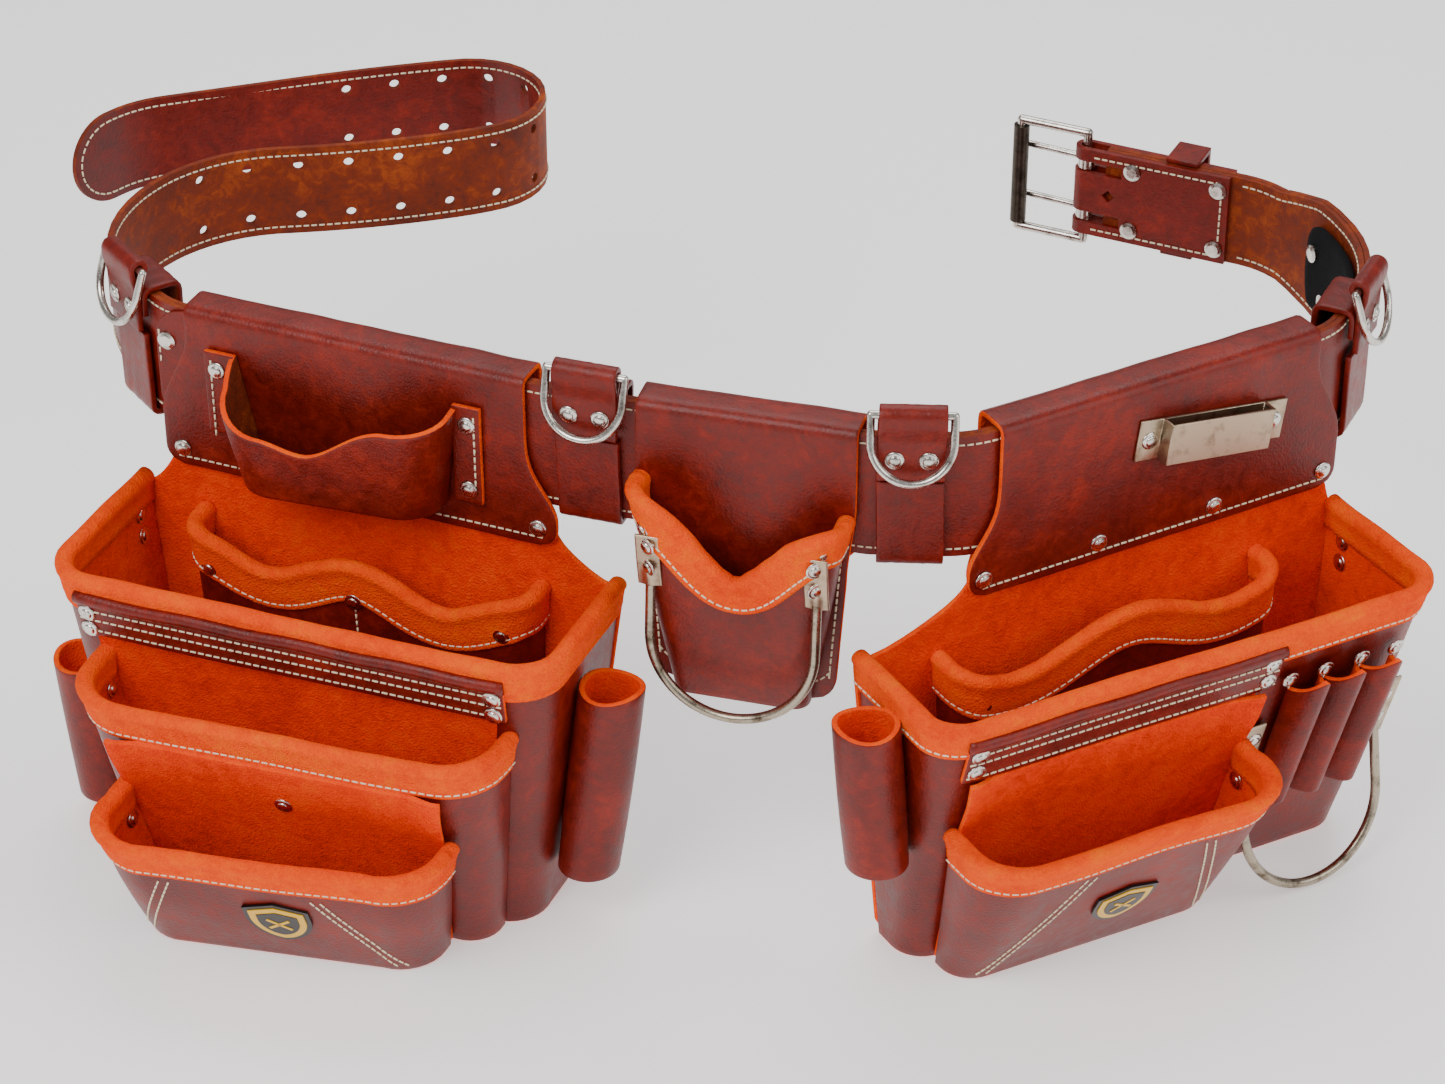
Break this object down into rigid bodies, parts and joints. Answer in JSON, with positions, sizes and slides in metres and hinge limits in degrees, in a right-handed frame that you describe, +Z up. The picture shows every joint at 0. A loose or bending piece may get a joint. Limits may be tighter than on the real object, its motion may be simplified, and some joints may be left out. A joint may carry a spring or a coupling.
{
  "type": "tool belt",
  "caption": "Leather tool belt standing on its nail bags, with hammer holder, D-rings and a two-prong roller buckle.",
  "frame": {"origin": "centre of the bounding box on the floor that the bags stand on", "axes": "+X along the belt's width to the right as seen from outside, +Y towards the wearer's back, +Z up"},
  "size_m": [0.7028, 0.526, 0.2944],
  "materials": {
    "cherry": "oiled full-grain leather, cherry red",
    "suede": "orange split side, brushed nap",
    "flesh": "brown oiled flesh side",
    "fleece": "black fleece over foam",
    "nickel": "nickel-plated steel",
    "clip": "brushed nickel-plated spring steel",
    "bronze": "tarnished nickel-plated rod",
    "roller": "dark worn steel",
    "badge": "enamelled yellow and black"
  },
  "bodies": {
    "belt": {"belt_outer_strap": "cherry", "belt_lining": "flesh", "back_pad": "fleece", "belt_end_patch": "cherry", "buckle_billet": "cherry", "belt_keeper": "cherry", "belt_rivets": "nickel", "ring_strap_1": "cherry", "ring_strap_2": "cherry", "ring_strap_3": "cherry", "ring_strap_4": "cherry", "ring_rivets_1": "nickel", "ring_rivets_2": "nickel", "ring_rivets_3": "nickel", "ring_rivets_4": "nickel"},
    "buckle": {"buckle_frame": "nickel"},
    "roller": {"buckle_roller": "roller"},
    "prong_upper": {"upper_prong": "nickel"},
    "prong_lower": {"lower_prong": "nickel"},
    "hammer_holder": {"holder_panel": "cherry", "holder_pocket": "cherry", "holder_rim": "suede", "holder_hammer_loop": "bronze", "holder_rivets": "nickel"},
    "left_bag": {"left_panel": "suede", "left_tape_pouch": "cherry", "left_inner_pocket": "cherry", "left_inner_rim": "suede", "left_main_pocket": "cherry", "left_main_rim": "suede", "left_strip": "cherry", "left_middle_pocket": "cherry", "left_middle_rim": "suede", "left_front_back": "suede", "left_front_pocket": "cherry", "left_front_rim": "suede", "left_outer_tube": "cherry", "left_inner_tube": "cherry", "left_badge": "badge", "left_rivets": "nickel"},
    "right_bag": {"right_panel": "suede", "right_tape_clip": "clip", "right_inner_pocket": "cherry", "right_inner_rim": "suede", "right_main_pocket": "cherry", "right_main_rim": "suede", "right_strip": "cherry", "right_front_back": "suede", "right_front_pocket": "cherry", "right_front_rim": "suede", "right_tool_tube": "cherry", "right_tool_slots": "cherry", "right_hammer_loop": "bronze", "right_badges": "badge", "right_rivets": "nickel"},
    "ring_1": {"d_ring_1": "nickel"},
    "ring_2": {"d_ring_2": "nickel"},
    "ring_3": {"d_ring_3": "nickel"},
    "ring_4": {"d_ring_4": "nickel"}
  },
  "joints": [
    {"name": "ring_1_swing", "type": "hinge", "parent": "belt", "child": "ring_1", "pos_m": [-0.29405, -0.00769, 0.289], "axis": [-0.5592, 0.829, 0], "range_deg": [0, 130]},
    {"name": "ring_2_swing", "type": "hinge", "parent": "belt", "child": "ring_2", "pos_m": [-0.06142, -0.11782, 0.289], "axis": [-0.9511, 0.309, 0], "range_deg": [0, 130]},
    {"name": "ring_3_swing", "type": "hinge", "parent": "belt", "child": "ring_3", "pos_m": [0.09173, -0.15548, 0.289], "axis": [-0.9994, 0.0349, 0], "range_deg": [0, 130]},
    {"name": "ring_4_swing", "type": "hinge", "parent": "belt", "child": "ring_4", "pos_m": [0.3194, -0.02355, 0.289], "axis": [-0.4226, -0.9063, 0], "range_deg": [0, 130]},
    {"name": "buckle_swing", "type": "hinge", "parent": "belt", "child": "buckle", "pos_m": [0.19628, 0.16217, 0.2412], "axis": [0, 0, -1], "range_deg": [-60, 60]},
    {"name": "roller_spin", "type": "hinge", "parent": "buckle", "child": "roller", "pos_m": [0.16184, 0.17823, 0.2412], "axis": [0, 0, 1], "continuous": true},
    {"name": "upper_prong_lift", "type": "hinge", "parent": "buckle", "child": "prong_upper", "pos_m": [0.19628, 0.16217, 0.2412], "axis": [0, 0, -1], "range_deg": [0, 70]},
    {"name": "lower_prong_lift", "type": "hinge", "parent": "buckle", "child": "prong_lower", "pos_m": [0.19628, 0.16217, 0.2412], "axis": [0, 0, -1], "range_deg": [0, 70]},
    {"name": "holder_slide", "type": "slide", "parent": "belt", "child": "hammer_holder", "axis": [0.9659, -0.2588, 0], "range_m": [-0.003, 0.003]},
    {"name": "left_bag_slide", "type": "slide", "parent": "belt", "child": "left_bag", "axis": [-0.9272, 0.3746, 0], "range_m": [0, 0.004]},
    {"name": "right_bag_slide", "type": "slide", "parent": "belt", "child": "right_bag", "axis": [0.866, 0.5, 0], "range_m": [-0.002, 0.004]}
  ]
}
